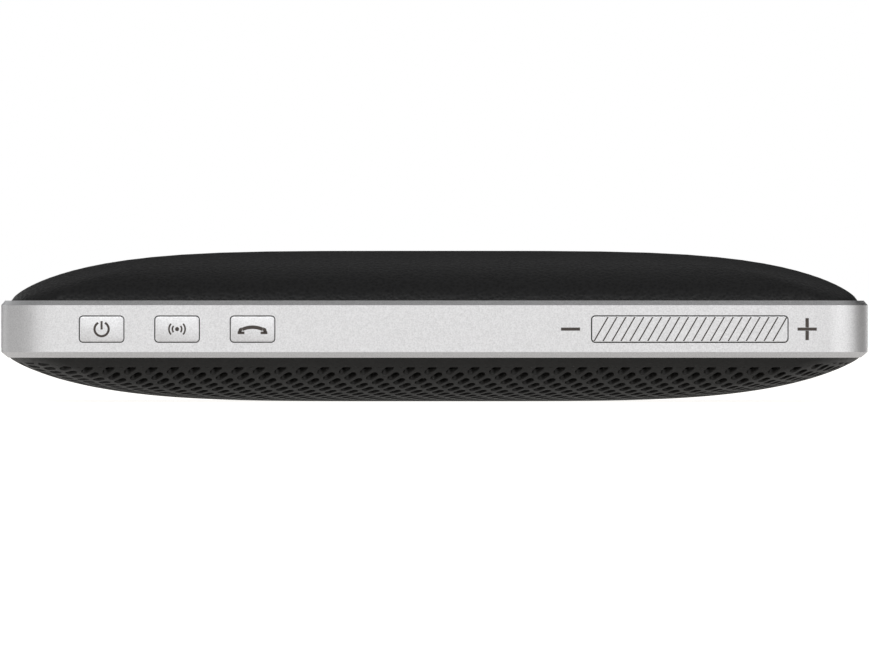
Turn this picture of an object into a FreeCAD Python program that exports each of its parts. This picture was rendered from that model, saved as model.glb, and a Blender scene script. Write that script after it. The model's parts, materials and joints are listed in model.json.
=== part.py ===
"""Slab-shaped wireless conference speakerphone, modelled piece by piece.

Frame: +X along the long side, -Y towards the edge that carries the keys, +Z towards the leather back.
The origin is under the middle of the case, at the lowest point of the crowned front grille.
"""

import FreeCAD
import Part
import math
import os
import re
import Sketcher

V = FreeCAD.Vector
ROTATE = FreeCAD.Rotation

# ---------------------------------------------------------------- driving dimensions, millimetres

DIMENSIONS = {
    # case
    "case_length": 139.8,
    "case_width": 75.8,
    "corner_radius": 9.0,
    "band_height": 9.2,
    "band_wall": 2.2,
    "back_rise": 8.1,
    "front_rise": 7.1,
    "back_power": 4.4,
    "back_ease": 0.72,
    "front_power": 4.5,
    "front_ease": 0.85,
    "crown_round": 0.75,
    "back_bevel_in": 0.65,
    "back_bevel_drop": 0.75,
    "front_bevel_in": 1.1,
    "front_bevel_drop": 0.9,
    "back_rim": 1.65,
    "front_rim": 1.35,
    "seat_depth": 1.2,
    "seat_gap": 0.1,
    # covers
    "leather_thick": 0.9,
    "shell_wall": 1.5,
    "lip_thick": 0.6,
    "grille_wall": 1.2,
    "cloth_thick": 0.3,
    "baffle_thick": 1.2,
    "baffle_gap": 0.15,
    # fold-out stand
    "stand_width": 34.0,
    "stand_hinge_y": 4.0,
    "stand_length": 24.0,
    "stand_thick": 1.2,
    "stand_corner": 3.0,
    "stand_sink": 0.05,
    "stand_gap": 0.3,
    "stand_recess": 2.85,
    "tub_wall": 1.0,
    "knuckle_radius": 1.0,
    "stand_pin_radius": 0.5,
    "pin_gap": 0.04,
    "pin_cover": 0.15,
    "pin_grip": 0.9,
    "thumb_length": 11.0,
    "thumb_reach": 3.0,
    # keys
    "key_length": 7.08,
    "key_height": 4.13,
    "key_corner": 0.55,
    "key_gap": 0.14,
    "key_first": 16.3,
    "key_pitch": 12.15,
    "key_stroke": 0.3,
    "key_round": 0.12,
    "flange_out": 0.8,
    "flange_thick": 0.65,
    "flange_gap": 0.05,
    "rocker_length": 31.5,
    "rocker_inset": 28.8,
    "rocker_reach": 12.0,
    "rocker_gap": 0.16,
    "groove_pitch": 1.44,
    "groove_width": 0.2,
    "groove_depth": 0.15,
    "groove_lean": 30.0,
    "pivot_radius": 0.4,
    "pivot_back": 0.75,
    "lug_length": 2.4,
    "lug_height": 3.2,
    "fork_length": 3.2,
    "fork_wall": 0.8,
    "plunger_radius": 0.6,
    "plunger_into": 0.05,
    "well_gap": 0.16,
    "well_depth": 0.6,
    "switch_length": 3.0,
    "switch_height": 2.6,
    "switch_depth": 1.3,
    "switch_standoff": 0.6,
    "board_thick": 0.8,
    "key_board_height": 4.0,
    "key_board_end": 1.6,
    "carrier_thick": 1.5,
    "part_gap": 0.2,
    # loudspeakers
    "driver_offset": 42.0,
    "driver_radius": 15.5,
    "driver_opening": 13.9,
    "gasket_thick": 0.5,
    "flange_metal": 0.8,
    "basket_depth": 5.5,
    "basket_back_radius": 9.4,
    "basket_wall": 0.6,
    "yoke_radius": 9.0,
    "yoke_height": 3.6,
    "yoke_wall": 1.6,
    "magnet_radius": 4.4,
    "magnet_height": 1.6,
    "pole_height": 0.9,
    "coil_radius": 5.1,
    "coil_wall": 0.35,
    "coil_length": 4.6,
    "cone_radius": 11.0,
    "cone_depth": 3.0,
    "cone_wall": 0.4,
    "cone_stroke": 0.6,
    "cap_rise": 1.3,
    "roll_width": 2.2,
    "roll_wall": 0.3,
    "roll_lip": 1.2,
    # battery and main board
    "battery_length": 48.0,
    "battery_width": 46.0,
    "battery_thick": 7.0,
    "battery_corner": 2.0,
    "pad_thick": 0.5,
    "board_space": 1.0,
    "main_length": 50.0,
    "main_width": 46.0,
    "main_shift": 1.0,
    "main_thick": 1.0,
    "post_inset": 2.5,
    "post_radius": 2.0,
    "small_screw_radius": 0.8,
    "small_head_radius": 1.4,
    "small_head_height": 0.7,
    "small_screw_length": 2.6,
    "shield_length": 15.0,
    "shield_width": 12.0,
    "shield_height": 1.5,
    "chip_size": 8.0,
    "chip_height": 1.0,
    # case screws
    "screw_inset": 6.5,
    "screw_radius": 1.0,
    "screw_gap": 0.03,
    "screw_length": 7.0,
    "head_radius": 1.8,
    "head_height": 1.1,
    "boss_radius": 2.4,
    "front_boss_y": 28.0,
    "hole_gap": 0.15,
    # sockets on the left end
    "usb_y": 19.5,
    "usb_width": 13.1,
    "usb_height": 5.7,
    "usb_depth": 12.0,
    "usb_wall": 0.3,
    "usb_corner": 0.5,
    "usb_tongue_width": 11.0,
    "usb_tongue_thick": 1.9,
    "charge_width": 7.6,
    "charge_height": 2.5,
    "charge_depth": 5.2,
    "charge_tongue_width": 4.0,
    "charge_tongue_thick": 0.6,
    "socket_base": 1.3,
    "socket_gap": 0.1,
    "jack_y": 19.5,
    "jack_width": 6.4,
    "jack_height": 5.0,
    "jack_depth": 13.2,
    "jack_bore": 1.8,
    "jack_bore_depth": 12.4,
    "jack_mouth": 2.7,
    "port_board_depth": 7.4,
    "port_board_inset": 4.2,
    "light_y": 7.0,
    "light_radius": 0.6,
    "light_length": 3.4,
    # microphones
    "mic_x": 19.0,
    "mic_y": 24.0,
    "mic_radius": 2.0,
    "mic_height": 2.2,
    "boot_radius": 3.0,
    "boot_height": 3.0,
    "mic_port": 0.8,
    # feet on the far edge
    "foot_x": 42.0,
    "foot_length": 30.0,
    "foot_height": 3.4,
    "edge_proud": 0.2,
    "foot_pocket": 0.5,
}

doc = FreeCAD.newDocument("speakerphone")
sheet = doc.addObject("Spreadsheet::Sheet", "dims")
for row, (alias, number) in enumerate(DIMENSIONS.items(), start=1):
    sheet.set(f"A{row}", alias)
    sheet.set(f"B{row}", str(number))
    sheet.setAlias(f"B{row}", alias)
doc.recompute()

ALIAS = re.compile(r"\b(" + "|".join(sorted(DIMENSIONS, key=len, reverse=True)) + r")\b")

# ---------------------------------------------------------------- places worked out from them

HALF_L = "(case_length / 2)"
HALF_W = "(case_width / 2)"
BAND_LOW = "front_rise"
BAND_HIGH = "(front_rise + band_height)"
MID = "(front_rise + band_height / 2)"
TOP = "(front_rise + band_height + back_rise)"
BACK_SEAT = f"({BAND_HIGH} - seat_depth)"
BAFFLE_LOW = f"({BAND_LOW} + seat_depth)"
BAFFLE_TOP = f"({BAFFLE_LOW} + baffle_thick)"

KEY_FACE = f"(-{HALF_W} - edge_proud)"
WALL_INSIDE = f"(band_wall - {HALF_W})"
CAP_BACK = f"({WALL_INSIDE} + flange_gap + flange_thick)"
SWITCH_FACE = f"({CAP_BACK} + switch_standoff)"
KEY_BOARD_FACE = f"({SWITCH_FACE} + switch_depth)"
KEY_BOARD_BACK = f"({KEY_BOARD_FACE} + board_thick)"
CARRIER_BACK = f"({KEY_BOARD_BACK} + carrier_thick)"
ROCKER_X = f"({HALF_L} - rocker_inset)"
PIVOT_Y = f"({CAP_BACK} + pivot_back)"
FORK_REACH = "(key_board_height / 2 + part_gap + fork_wall)"

FLANGE_Z = f"({BAFFLE_TOP} + gasket_thick)"
BASKET_Z = f"({FLANGE_Z} + basket_depth)"
YOKE_Z = f"({BASKET_Z} + flange_metal)"
PAD_Z = BAFFLE_TOP
BATTERY_Z = f"({PAD_Z} + pad_thick)"
MAIN_Z = f"({BATTERY_Z} + battery_thick + board_space)"
MAIN_TOP = f"({MAIN_Z} + main_thick)"
STAND_PIN_Z = f"({TOP} - leather_thick - stand_pin_radius - pin_cover)"
SOCKET_X = f"(band_wall + socket_gap - {HALF_L})"

# Levels of the crown, as shares of the rim's size, from the rim to the flat on top.
CROWN_LEVELS = (1.0, 0.985, 0.965, 0.94, 0.9, 0.85, 0.78, 0.69, 0.57, 0.42, 0.25)

SCREWS = [
    (f"({sx} * ({HALF_L} - screw_inset))", f"({sy} * ({HALF_W} - screw_inset))")
    for sx in (-1, 1)
    for sy in (-1, 1)
]
SCREWS += [("0", "(-front_boss_y)"), ("0", f"({HALF_W} - screw_inset)")]

POSTS = [
    (f"({sx} * (main_length / 2 - post_inset))", f"({sy} * (main_width / 2 - post_inset) - main_shift)")
    for sx in (-1, 1)
    for sy in (-1, 1)
]

KEYS = {
    "power": f"(key_first - {HALF_L})",
    "pairing": f"(key_first + key_pitch - {HALF_L})",
    "call": f"(key_first + 2 * key_pitch - {HALF_L})",
}

# ---------------------------------------------------------------- helpers

UPRIGHT = ROTATE()
TO_KEYS = ROTATE(V(1, 0, 0), 90)  # a sketch seen from -Y: its normal is -Y
TO_LEFT = ROTATE(V(0, -1, 0), V(0, 0, 1), V(-1, 0, 0), "XYZ")  # seen from -X: its normal is -X
ALONG_X = ROTATE(V(0, 1, 0), 90)


def full(expression):
    """The expression with each alias written the way the spreadsheet's other objects see it."""
    return ALIAS.sub(r"dims.\1", expression)


def value(expression):
    return float(sheet.evalExpression(full(expression)))


def bind(thing, **expressions):
    for prop, expression in expressions.items():
        thing.setExpression(prop.replace("__", "."), full(expression))


def place(thing, x="0", y="0", z="0", rotation=UPRIGHT):
    thing.Placement = FreeCAD.Placement(V(value(x), value(y), value(z)), rotation)
    bind(thing, Placement__Base__x=x, Placement__Base__y=y, Placement__Base__z=z)
    return thing


def named(thing, label):
    """Marks a finished sub-part: its label names its file."""
    thing.Label = label
    PIECES[label] = thing
    return thing


PIECES = {}


def new(kind, name):
    return doc.addObject(kind, name)


def box(name, size, centre_x, centre_y, low_z, rotation=UPRIGHT):
    """A block centred in X and Y on a point, standing on low_z."""
    block = new("Part::Box", name)
    bind(block, Length=size[0], Width=size[1], Height=size[2])
    return place(
        block, f"{centre_x} - ({size[0]}) / 2", f"{centre_y} - ({size[1]}) / 2", low_z, rotation
    )


def rod(name, radius, length, x, y, z, rotation=UPRIGHT):
    """A cylinder from a point along the rotated Z axis."""
    made = new("Part::Cylinder", name)
    bind(made, Radius=radius, Height=length)
    return place(made, x, y, z, rotation)


def cut(name, base, *tools):
    for n, tool in enumerate(tools):
        made = new("Part::Cut", name if n == len(tools) - 1 else f"{name}_{n}")
        made.Base, made.Tool = base, tool
        base = made
    return base


def fuse(name, *shapes):
    made = new("Part::MultiFuse", name)
    made.Shapes = list(shapes)
    return made


def common(name, *shapes):
    made = new("Part::MultiCommon", name)
    made.Shapes = list(shapes)
    return made


def outline(name, length, width, radius, x="0", y="0", z="0", rotation=UPRIGHT):
    """A sketch of a rectangle with rounded corners, centred on its own origin."""
    sketch = new("Sketcher::SketchObject", name)
    a, b, r = value(length) / 2, value(width) / 2, value(radius)
    corners = ((1, -1), (1, 1), (-1, 1), (-1, -1))
    for n, (sx, sy) in enumerate(corners):
        px, py = corners[n - 1]
        start = V(px * (a - r * (px == sx)), py * (b - r * (py == sy)), 0)
        end = V(sx * (a - r * (px == sx)), sy * (b - r * (py == sy)), 0)
        if px != sx:
            start, end = V(px * (a - r), sy * b, 0), V(sx * (a - r), sy * b, 0)
        else:
            start, end = V(sx * a, py * (b - r), 0), V(sx * a, sy * (b - r), 0)
        sketch.addGeometry(Part.LineSegment(start, end), False)
        turn = Part.Circle(V(sx * (a - r), sy * (b - r), 0), V(0, 0, 1), r)
        first = (n - 1) * math.pi / 2
        sketch.addGeometry(Part.ArcOfCircle(turn, first, first + math.pi / 2), False)
    rule = Sketcher.Constraint
    rules = [rule("Tangent", n, 2, (n + 1) % 8, 1) for n in range(8)]
    rules += [rule("Horizontal", 0), rule("Vertical", 2), rule("Horizontal", 4), rule("Vertical", 6)]
    rules += [rule("Equal", 1, n) for n in (3, 5, 7)]
    rules += [rule("Symmetric", 1, 3, 5, 3, -1, 1)]
    sketch.addConstraint(rules)
    for kind, where, size in (
        ("Radius", (1,), radius),
        ("DistanceX", (6, 1, 2, 1), length),
        ("DistanceY", (0, 1, 4, 1), width),
    ):
        n = sketch.addConstraint(rule(kind, *where, value(size)))
        sketch.setExpression(f"Constraints[{n}]", full(size))
    return place(sketch, x, y, z, rotation)


def prism(name, length, width, radius, depth, x="0", y="0", z="0", rotation=UPRIGHT):
    """A rounded rectangle pushed out along its sketch's normal."""
    made = new("Part::Extrusion", name)
    made.Base = outline(f"{name}_outline", length, width, radius, x, y, z, rotation)
    made.DirMode = "Normal"
    made.Solid = True
    bind(made, LengthFwd=depth)
    return made


def revolved(name, points, x="0", y="0"):
    """A PartDesign body: the closed outline of (radius, height) points turned about a vertical axis."""
    body = new("PartDesign::Body", name)
    sketch = body.newObject("Sketcher::SketchObject", f"{name}_profile")
    plane = [f for f in body.Origin.OriginFeatures if f.Role == "XZ_Plane"][0]
    sketch.AttachmentSupport = [(plane, "")]
    sketch.MapMode = "FlatFace"
    spots = [V(value(r), value(z), 0) for r, z in points]
    for n, spot in enumerate(spots):
        sketch.addGeometry(Part.LineSegment(spot, spots[(n + 1) % len(spots)]), False)
    for n in range(len(points)):
        sketch.addConstraint(Sketcher.Constraint("Coincident", n, 2, (n + 1) % len(points), 1))
    for n, (radius, height) in enumerate(points):
        for kind, size in (("DistanceX", radius), ("DistanceY", height)):
            index = sketch.addConstraint(Sketcher.Constraint(kind, -1, 1, n, 1, value(size)))
            sketch.setExpression(f"Constraints[{index}]", full(size))
    turn = body.newObject("PartDesign::Revolution", f"{name}_turn")
    turn.Profile = sketch
    turn.ReferenceAxis = (sketch, ["V_Axis"])
    turn.Angle = 360
    body.Tip = turn
    sketch.Visibility = False
    return place(body, x, y)


def crown(name, side, inset, skirt):
    """A crowned block: a straight skirt below the rim, then the pillow, all taken in by inset.

    side is "back" or "front". skirt is how far the straight part reaches past the rim into the band.
    """
    rim = f"{side}_rim"
    up = 1 if side == "back" else -1
    base = BAND_HIGH if side == "back" else BAND_LOW
    sections = []
    levels = (1.0, *CROWN_LEVELS) if value(skirt) else CROWN_LEVELS
    for n, level in enumerate(levels):
        length = f"2 * {level} * ({HALF_L} - {rim} - ({inset}))"
        width = f"2 * {level} * ({HALF_W} - {rim} - ({inset}))"
        bulge = f"crown_round * ({HALF_W} - {rim} - ({inset})) * (1 - {level})"
        radius = f"{level} * (corner_radius - {rim} - ({inset}) + {bulge})"
        rise = f"({side}_rise - ({inset})) * (1 - {level} ^ {side}_power) ^ {side}_ease"
        if len(levels) > len(CROWN_LEVELS) and n == 0:
            rise = f"-({skirt})"
        elif level == 1.0:
            rise = "0"
        elif level == CROWN_LEVELS[-1]:
            rise = f"{side}_rise - ({inset})"
        sections.append(outline(f"{name}_level_{n}", length, width, radius, z=f"{base} + {up} * ({rise})"))
    made = new("Part::Loft", name)
    made.Sections = sections
    made.Solid = True
    made.Ruled = True
    return made


# ---------------------------------------------------------------- band


def band_section(name, inset, height):
    return outline(
        name, f"case_length - 2 * ({inset})", f"case_width - 2 * ({inset})", f"corner_radius - ({inset})", z=height
    )


def opening(name, inset, low, high):
    """A rounded block as wide as the case less an inset all round, between two heights."""
    return prism(
        name,
        f"case_length - 2 * ({inset})",
        f"case_width - 2 * ({inset})",
        f"corner_radius - ({inset})",
        f"{high} - ({low})",
        z=low,
    )


def key_hole(name, length, x, gap):
    return prism(
        name,
        f"{length} + 2 * {gap}",
        f"key_height + 2 * {gap}",
        f"key_corner + {gap}",
        "band_wall * 2",
        x=x,
        y=f"{WALL_INSIDE} + band_wall / 2",
        z=MID,
        rotation=TO_KEYS,
    )


def make_band():
    block = new("Part::Loft", "band_block")
    block.Sections = [
        band_section("band_front_edge", "front_bevel_in", BAND_LOW),
        band_section("band_front_bevel", "0", f"{BAND_LOW} + front_bevel_drop"),
        band_section("band_back_bevel", "0", f"{BAND_HIGH} - back_bevel_drop"),
        band_section("band_back_edge", "back_bevel_in", BAND_HIGH),
    ]
    block.Solid = True
    block.Ruled = True
    tools = [
        opening("band_inside", "band_wall", f"{BAND_LOW} - 1", f"{BAND_HIGH} + 1"),
        opening("back_rabbet", "back_rim - seat_gap", BACK_SEAT, f"{BAND_HIGH} + 1"),
        opening("front_rabbet", "front_rim - seat_gap", f"{BAND_LOW} - 1", BAFFLE_LOW),
    ]
    tools += [key_hole(f"{key}_hole", "key_length", x, "key_gap") for key, x in KEYS.items()]
    tools += [key_hole("rocker_hole", "rocker_length", ROCKER_X, "rocker_gap")]
    outside = f"socket_gap - {HALF_L} + band_wall"
    for name, y, width, height, radius in (
        ("usb", "usb_y", "usb_width - 2 * usb_wall", "usb_height - 2 * usb_wall", "usb_corner"),
        ("charge", "0", "charge_width", "charge_height", "charge_height * 0.42"),
    ):
        tools += [prism(f"{name}_mouth", width, height, radius, "band_wall * 2", outside, y, MID, TO_LEFT)]
    tools += [rod("jack_mouth_hole", "jack_mouth", "band_wall * 2", outside, "-jack_y", MID, TO_LEFT)]
    tools += [
        rod("light_hole", f"light_radius + pin_gap", "band_wall * 2", outside, "light_y", MID, TO_LEFT)
    ]
    for side in (-1, 1):
        tools += [foot(f"foot_pocket_{side + 1}", f"{side} * foot_x", "pin_gap", "foot_pocket + 1")]
    return named(cut("band", block, *tools), "frame_band")


def foot(name, x, gap, depth):
    return prism(
        name,
        f"foot_length + 2 * {gap}",
        f"foot_height + 2 * {gap}",
        f"foot_height * 0.48 + {gap}",
        depth,
        x=x,
        y=f"{HALF_W} - foot_pocket + ({depth})",
        z=MID,
        rotation=TO_KEYS,
    )


def make_feet():
    for side, label in ((-1, "left_edge_foot"), (1, "right_edge_foot")):
        named(foot(label, f"{side} * foot_x", "0", "foot_pocket + edge_proud"), label)


# ---------------------------------------------------------------- back cover and stand


def stand_prism(name, gap, extra, low, high):
    """The stand's footprint grown by a gap all round; extra moves only its hinge end."""
    return prism(
        name,
        f"stand_width + 2 * ({gap})",
        f"stand_length + {extra} + 2 * ({gap})",
        f"stand_corner + ({gap})",
        f"{high} - ({low})",
        y=f"stand_hinge_y + (stand_length - ({extra})) / 2",
        z=low,
    )


def thumb_scoop(name, gap):
    """The notch past the stand's free end that lets a fingernail in."""
    return prism(
        name,
        f"thumb_length + 2 * ({gap})",
        f"2 * (thumb_reach + {gap})",
        f"(thumb_reach + {gap}) * 0.98",
        "back_rise",
        y="stand_hinge_y + stand_length",
        z=f"{TOP} - back_rise + 1",
    )


def make_back():
    far = "band_height"
    outer = crown("back_outer", "back", "0", "seat_depth - lip_thick")
    under_leather = crown("back_under_leather", "back", "leather_thick", far)
    shell_outside = crown("shell_outside", "back", "leather_thick", "seat_depth")
    shell_inside = crown("shell_inside", "back", "leather_thick + shell_wall", far)
    floor = crown("stand_floor", "back", "stand_recess", far)
    underside = crown("stand_underside", "back", "stand_recess + tub_wall", far)

    hinge_end = "(knuckle_radius + stand_gap)"
    footprint = stand_prism("stand_pocket_plan", "stand_gap", hinge_end, BAND_HIGH, f"{TOP} + 1")
    square_end = box(
        "stand_pocket_end",
        ("stand_width + 2 * stand_gap", "2 * stand_corner", f"{TOP} + 1 - {BAND_HIGH}"),
        "0",
        f"stand_hinge_y - stand_gap - {hinge_end} + stand_corner",
        BAND_HIGH,
    )
    thumb = thumb_scoop("stand_thumb_plan", "0")
    pocket = cut("stand_pocket", fuse("stand_pocket_plans", footprint, square_end, thumb), floor)

    leather = cut("leather", outer, under_leather, pocket)
    named(leather, "back_leather")

    lip = cut(
        "shell_lip",
        opening("lip_outside", "back_rim", BACK_SEAT, f"{BACK_SEAT} + lip_thick"),
        opening("lip_inside", "back_rim + leather_thick + shell_wall", f"{BACK_SEAT} - 1", f"{BAND_HIGH}"),
    )
    walls = stand_prism("tub_outside", "stand_gap + tub_wall", hinge_end, BAND_HIGH, f"{TOP} + 1")
    thumb_walls = thumb_scoop("thumb_outside", "tub_wall")
    tub = cut(
        "stand_tub",
        common("tub_block", fuse("tub_plans", walls, thumb_walls), shell_outside),
        underside,
    )
    skin = cut("shell_skin", shell_outside, shell_inside)

    columns = [
        rod(f"boss_{n}", "boss_radius", f"{TOP} - {BAFFLE_TOP}", x, y, BAFFLE_TOP)
        for n, (x, y) in enumerate(SCREWS)
    ]
    columns += [
        rod(f"post_{n}", "post_radius", f"{TOP} - {MAIN_TOP}", x, y, MAIN_TOP)
        for n, (x, y) in enumerate(POSTS)
    ]
    deep = crown("column_limit", "back", "leather_thick + shell_wall / 2", far)
    inner_columns = common("shell_columns", fuse("column_rods", *columns), deep)
    bores = [
        rod(f"boss_bore_{n}", "screw_radius + screw_gap", f"screw_length + {BAFFLE_LOW} + 0.5 - {BAFFLE_TOP} + 1", x, y, f"{BAFFLE_TOP} - 1")
        for n, (x, y) in enumerate(SCREWS)
    ]
    bores += [
        rod(f"post_bore_{n}", "small_screw_radius + screw_gap", f"small_screw_length - main_thick + 1.2", x, y, f"{MAIN_TOP} - 1")
        for n, (x, y) in enumerate(POSTS)
    ]
    pin_hole = rod(
        "stand_pin_hole",
        "stand_pin_radius + pin_gap / 2",
        "stand_width + 2 * stand_gap + 2 * pin_grip",
        "-stand_width / 2 - stand_gap - pin_grip",
        "stand_hinge_y",
        STAND_PIN_Z,
        ALONG_X,
    )
    solid = fuse("shell_solid", skin, lip, tub, inner_columns)
    named(cut("shell", solid, pocket, pin_hole, *bores), "back_shell")


def make_stand():
    surface = crown("stand_surface", "back", "stand_sink", "band_height")
    inside = crown("stand_inside", "back", "stand_sink + stand_thick", "band_height")
    plan = stand_prism("stand_plan", "0", "0", BAND_HIGH, f"{TOP} + 1")
    plate = cut("stand_plate", common("stand_block", plan, surface), inside)
    knuckle = rod(
        "stand_knuckle", "knuckle_radius", "stand_width", "-stand_width / 2", "stand_hinge_y", STAND_PIN_Z, ALONG_X
    )
    behind = box(
        "stand_behind",
        ("stand_width + 2", "2 * stand_corner + 2", "3 * knuckle_radius"),
        "0",
        "stand_hinge_y - stand_corner - 1",
        f"{STAND_PIN_Z} - knuckle_radius",
    )
    square = box(
        "stand_square",
        ("stand_width", "stand_corner + knuckle_radius", "stand_thick"),
        "0",
        "stand_hinge_y + (stand_corner + knuckle_radius) / 2",
        f"{TOP} - 2 * stand_sink - stand_thick",
    )
    bore = rod(
        "stand_bore",
        "stand_pin_radius + pin_gap",
        "stand_width + 2",
        "-stand_width / 2 - 1",
        "stand_hinge_y",
        STAND_PIN_Z,
        ALONG_X,
    )
    leaf = fuse("stand_leaf_solid", cut("stand_plate_end", plate, behind), knuckle, square)
    named(cut("stand", leaf, bore), "stand_leaf")
    pin = rod(
        "stand_pin",
        "stand_pin_radius",
        "stand_width + 2 * stand_gap + 2 * pin_grip - 0.1",
        "-stand_width / 2 - stand_gap - pin_grip + 0.05",
        "stand_hinge_y",
        STAND_PIN_Z,
        ALONG_X,
    )
    named(pin, "stand_hinge_pin")


# ---------------------------------------------------------------- front grille, cloth and baffle


def make_front():
    outer = crown("front_outer", "front", "0", "seat_depth")
    under = crown("front_under", "front", "grille_wall", "band_height")
    named(cut("grille", outer, under), "front_grille")
    cloth_outer = crown("cloth_outer", "front", "grille_wall", "0")
    cloth_inner = crown("cloth_inner", "front", "grille_wall + cloth_thick", "band_height")
    named(cut("cloth", cloth_outer, cloth_inner), "grille_cloth")


def make_baffle():
    plate = opening("baffle_block", "band_wall + baffle_gap", BAFFLE_LOW, BAFFLE_TOP)
    low, tall = f"{BAFFLE_LOW} - 1", "baffle_thick + 2"
    tools = [
        rod(f"driver_hole_{side + 1}", "driver_opening", tall, f"{side} * driver_offset", "0", low)
        for side in (-1, 1)
    ]
    tools += [rod(f"screw_hole_{n}", "screw_radius + hole_gap", tall, x, y, low) for n, (x, y) in enumerate(SCREWS)]
    edge = f"{WALL_INSIDE} - 1"

    def notch(name, x, length, back):
        depth = f"({back}) - ({edge})"
        return box(name, (length, depth, tall), x, f"({edge}) + ({depth}) / 2", low)

    for key, x in KEYS.items():
        tools += [notch(f"{key}_notch", x, "key_length + 2 * (flange_out + part_gap)", f"{KEY_BOARD_BACK}")]
    tools += [notch("rocker_notch", ROCKER_X, "rocker_length + 2 * (rocker_gap + part_gap)", f"{KEY_BOARD_BACK}")]
    tools += [notch("fork_notch", ROCKER_X, "fork_length + 2 * part_gap", f"{CARRIER_BACK} + part_gap")]
    for name, y, width, depth in (
        ("usb_notch", "usb_y", "usb_width", "usb_depth"),
        ("jack_notch", "-jack_y", "jack_width", "jack_depth"),
    ):
        length = f"{depth} + socket_gap + part_gap + 1"
        tools += [box(name, (length, f"{width} + 2 * part_gap", tall), f"{SOCKET_X} - socket_gap - 1 + ({length}) / 2", y, low)]
    named(cut("baffle", plate, *tools), "driver_baffle")


# ---------------------------------------------------------------- keys


def tact_switch(name, x):
    """A switch body with a round well for its plunger."""
    body = box(f"{name}_body", ("switch_length", "switch_depth", "switch_height"), x, f"{SWITCH_FACE} + switch_depth / 2", f"{MID} - switch_height / 2")
    well = rod(f"{name}_well", "plunger_radius + well_gap", "well_depth + 1", x, f"{SWITCH_FACE} + well_depth", MID, TO_KEYS)
    return named(cut(name, body, well), name)


def plunger(name, x):
    length = "switch_standoff + plunger_into"
    return named(rod(name, "plunger_radius", length, x, f"{CAP_BACK} + {length}", MID, TO_KEYS), name)


def key_cap(name, length, x, radius="key_corner"):
    """The cap's body, from its back to the band's outer face, with its front edge rounded."""
    block = prism(
        f"{name}_block", length, "key_height", radius, f"{CAP_BACK} - ({KEY_FACE})", x=x, y=CAP_BACK, z=MID, rotation=TO_KEYS
    )
    doc.recompute()
    edges = [
        (n + 1, DIMENSIONS["key_round"], DIMENSIONS["key_round"])
        for n, edge in enumerate(block.Shape.Edges)
        if abs(edge.BoundBox.YMax - value(KEY_FACE)) < 1e-4
    ]
    made = new("Part::Fillet", f"{name}_rounded")
    made.Base = block
    made.Edges = edges
    return made


def make_keys():
    for key, x in KEYS.items():
        cap = key_cap(f"{key}_cap", "key_length", x)
        flange = prism(
            f"{key}_flange", "key_length + 2 * flange_out", "key_height", "key_corner", "flange_thick", x=x, y=CAP_BACK, z=MID, rotation=TO_KEYS
        )
        named(fuse(f"{key}_key", cap, flange), f"{key}_key")
        plunger(f"{key}_plunger", x)
        tact_switch(f"{key}_switch", x)


def make_rocker():
    cap = key_cap("rocker_cap", "rocker_length", ROCKER_X)
    lug = box("rocker_lug", ("lug_length", "pivot_back + 2 * pivot_radius + 0.2", "lug_height"), ROCKER_X, f"{CAP_BACK} + (pivot_back + 2 * pivot_radius) / 2 - 0.1", f"{MID} - lug_height / 2")
    bore = rod("rocker_bore", "pivot_radius + pin_gap", "lug_height + 2", ROCKER_X, PIVOT_Y, f"{MID} - lug_height / 2 - 1")
    grooves = []
    count = int(value("rocker_length / groove_pitch"))
    lean = ROTATE(V(0, 1, 0), value("groove_lean"))
    for n in range(count):
        groove = new("Part::Box", f"groove_{n}")
        bind(groove, Length="groove_width", Width="groove_depth * 2", Height="key_height * 2")
        shift = f"{ROCKER_X} + ({n} - ({count} - 1) / 2) * groove_pitch"
        place(
            groove,
            f"{shift} - key_height * sin(groove_lean * 1deg)",
            f"{KEY_FACE} - groove_depth",
            f"{MID} - key_height * cos(groove_lean * 1deg)",
            lean,
        )
        grooves.append(groove)
    solid = fuse("rocker_solid", cap, lug)
    named(cut("rocker", solid, bore, fuse("rocker_grooves", *grooves)), "volume_rocker")
    named(rod("pivot", "pivot_radius", f"2 * {FORK_REACH}", ROCKER_X, PIVOT_Y, f"{MID} - {FORK_REACH}"), "volume_pivot_pin")
    for side, word in ((-1, "down"), (1, "up")):
        x = f"{ROCKER_X} + {side} * rocker_reach"
        plunger(f"volume_{word}_plunger", x)
        tact_switch(f"volume_{word}_switch", x)


def make_key_board():
    left = f"({KEYS['power']} - key_length / 2 - key_board_end)"
    right = f"({ROCKER_X} + rocker_length / 2 + key_board_end)"
    length = f"({right} - ({left}))"
    middle = f"({left} + {length} / 2)"
    board = box("key_board", (length, "board_thick", "key_board_height"), middle, f"{KEY_BOARD_FACE} + board_thick / 2", f"{MID} - key_board_height / 2")
    named(board, "key_board")
    bar = box("carrier_bar", (length, "carrier_thick", f"{MID} + key_board_height / 2 - {BAFFLE_TOP}"), middle, f"{KEY_BOARD_BACK} + carrier_thick / 2", BAFFLE_TOP)
    reach = f"({CARRIER_BACK} - ({PIVOT_Y}) + 2 * pivot_radius)"
    fork = box("carrier_fork", ("fork_length", reach, f"2 * {FORK_REACH}"), ROCKER_X, f"{CARRIER_BACK} - {reach} / 2", f"{MID} - {FORK_REACH}")
    gap = box("fork_gap", ("fork_length + 2", reach, "key_board_height + 2 * part_gap"), ROCKER_X, f"{KEY_BOARD_BACK} - {reach} / 2", f"{MID} - key_board_height / 2 - part_gap")
    hole = rod("fork_hole", "pivot_radius + pin_gap / 2", f"2 * {FORK_REACH} + 2", ROCKER_X, PIVOT_Y, f"{MID} - {FORK_REACH} - 1")
    named(cut("carrier", fuse("carrier_solid", bar, cut("fork_open", fork, gap)), hole), "key_carrier")


# ---------------------------------------------------------------- loudspeakers


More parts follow.
